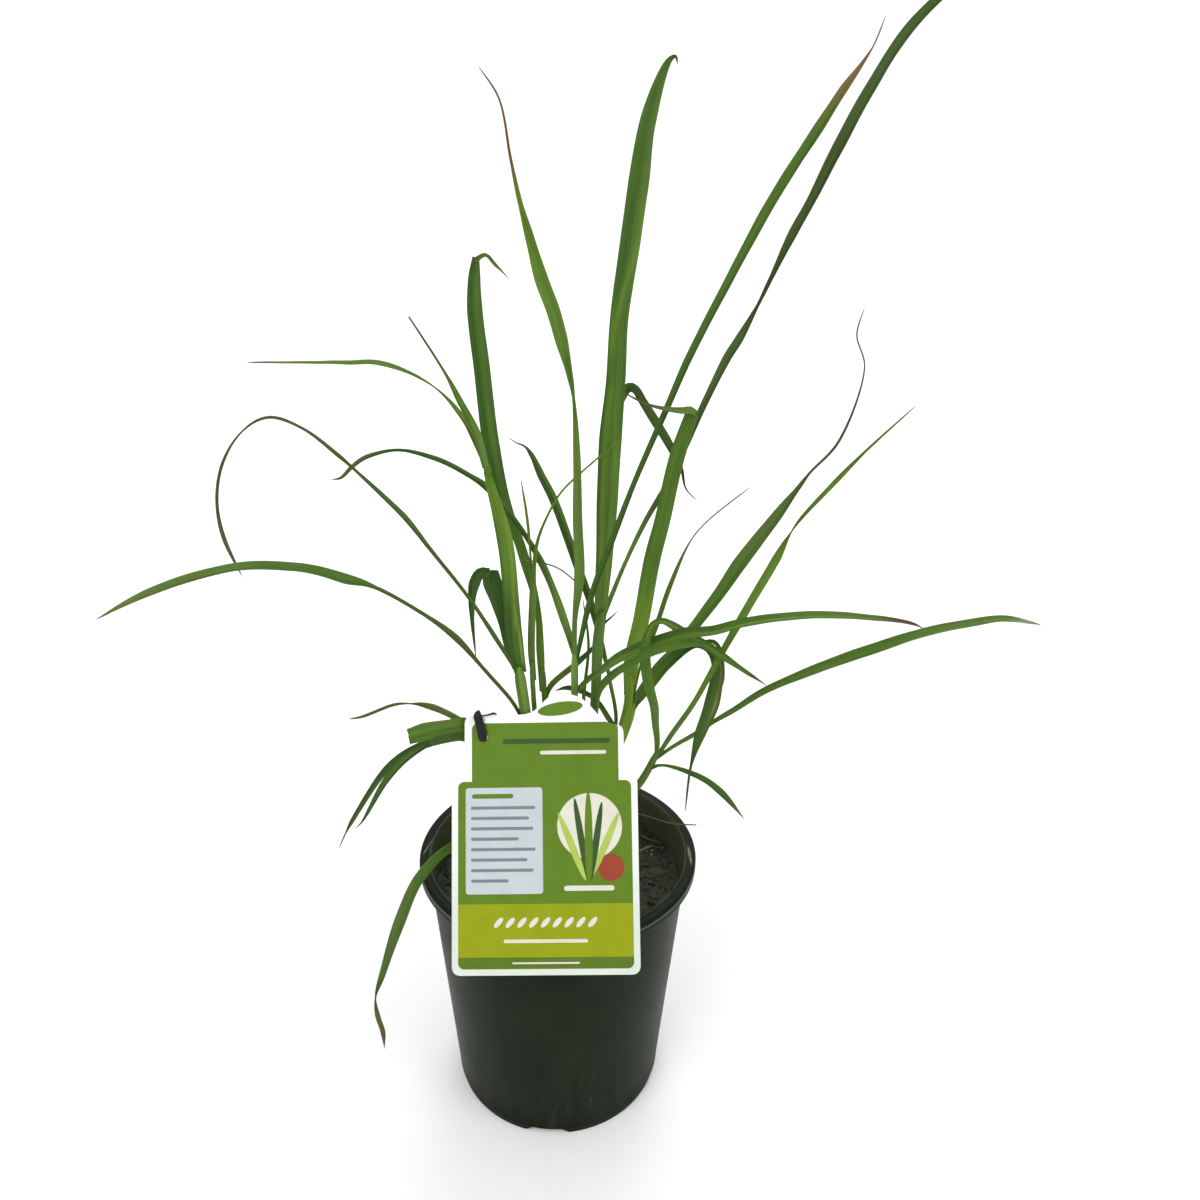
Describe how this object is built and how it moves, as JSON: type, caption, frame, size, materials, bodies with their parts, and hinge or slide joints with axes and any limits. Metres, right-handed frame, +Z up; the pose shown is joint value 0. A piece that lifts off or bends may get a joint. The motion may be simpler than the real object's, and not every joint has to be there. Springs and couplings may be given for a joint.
{
  "type": "lemongrass plant in a pot",
  "caption": "Young lemongrass plant of slender arching leafy stems, growing in potting soil in a round black nursery pot, with a printed label card tied to one stem.",
  "frame": {"origin": "middle of the pot's foot, on the surface it stands on", "axes": "+Z up; -Y is the front, which the label card faces; +X is to the right as seen from the front"},
  "size_m": [0.4424, 0.1589, 0.5533],
  "materials": {
    "pot": "black moulded plastic, satin, lightly scuffed",
    "soil": "damp dark bark-based potting mix",
    "leaf": "fresh grass blade, satin, finely ribbed",
    "card": "printed plastic card with a white border",
    "tie": "black, satin",
    "straw": "dry brown straw"
  },
  "bodies": {
    "root": {"pot": "pot", "potting_soil": "soil", "tiller_a": "leaf", "tiller_b": "leaf", "tiller_c": "leaf", "tiller_d": "leaf", "tiller_e": "leaf", "tiller_f": "leaf", "tiller_g": "leaf", "tiller_h": "leaf", "label_card": "card", "label_tie": "tie", "straw_1": "straw", "straw_2": "straw"}
  },
  "joints": []
}
